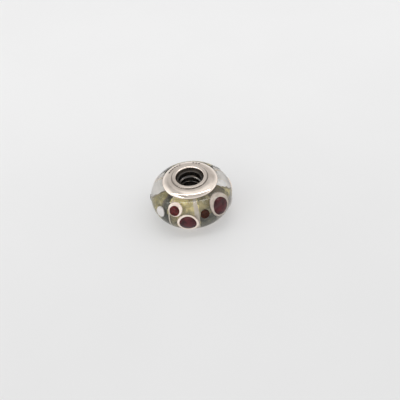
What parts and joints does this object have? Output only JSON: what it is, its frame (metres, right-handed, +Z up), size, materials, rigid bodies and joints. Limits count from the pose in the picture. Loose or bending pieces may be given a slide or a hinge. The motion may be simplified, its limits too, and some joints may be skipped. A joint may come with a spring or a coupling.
{
  "type": "european charm bead",
  "caption": "Round glass charm bead with raised ringed dots, domed silver end caps and a threaded silver core that slides on a bracelet.",
  "frame": {"origin": "centre of the bottom lip, on the surface that the bead stands on", "axes": "+Z up the bore; -Y towards the front of the picture, with +X to its right"},
  "size_m": [0.0142, 0.0144, 0.0083],
  "materials": {
    "polished_silver": "polished sterling silver, lightly worn",
    "darkened_silver": "darkened silver, polished on its end faces",
    "clear_glass": "clear, fire polished",
    "foil_glass": "olive and grey-green glass with glittering foil",
    "pale_glass": "pale pinkish grey glass",
    "white_glass": "opaque white glass, glossy",
    "maroon_glass": "deep maroon glass, glossy",
    "red_glass": "deep red glass, glossy",
    "dark_red_glass": "dark brown-red glass, glossy"
  },
  "bodies": {
    "root": {"clear_casing": "clear_glass", "core_tube": "polished_silver", "dark_dot_1": "dark_red_glass", "dark_dot_2": "dark_red_glass", "dark_dot_3": "dark_red_glass", "end_cap_bottom": "polished_silver", "end_cap_top": "polished_silver", "eye_base_1": "white_glass", "eye_base_2": "white_glass", "eye_base_3": "white_glass", "eye_base_4": "white_glass", "eye_base_5": "white_glass", "eye_centre_1": "maroon_glass", "eye_centre_2": "maroon_glass", "eye_centre_3": "maroon_glass", "eye_centre_4": "maroon_glass", "eye_centre_5": "maroon_glass", "foil_core": "foil_glass", "pale_stripe_1": "pale_glass", "pale_stripe_2": "pale_glass", "pale_stripe_3": "pale_glass", "pale_stripe_4": "pale_glass", "pale_stripe_5": "pale_glass", "red_base_1": "white_glass", "red_base_2": "white_glass", "red_centre_1": "red_glass", "red_centre_2": "red_glass", "thread_sleeve": "darkened_silver", "white_dot_1": "white_glass", "white_dot_2": "white_glass", "white_dot_3": "white_glass"}
  },
  "joints": []
}
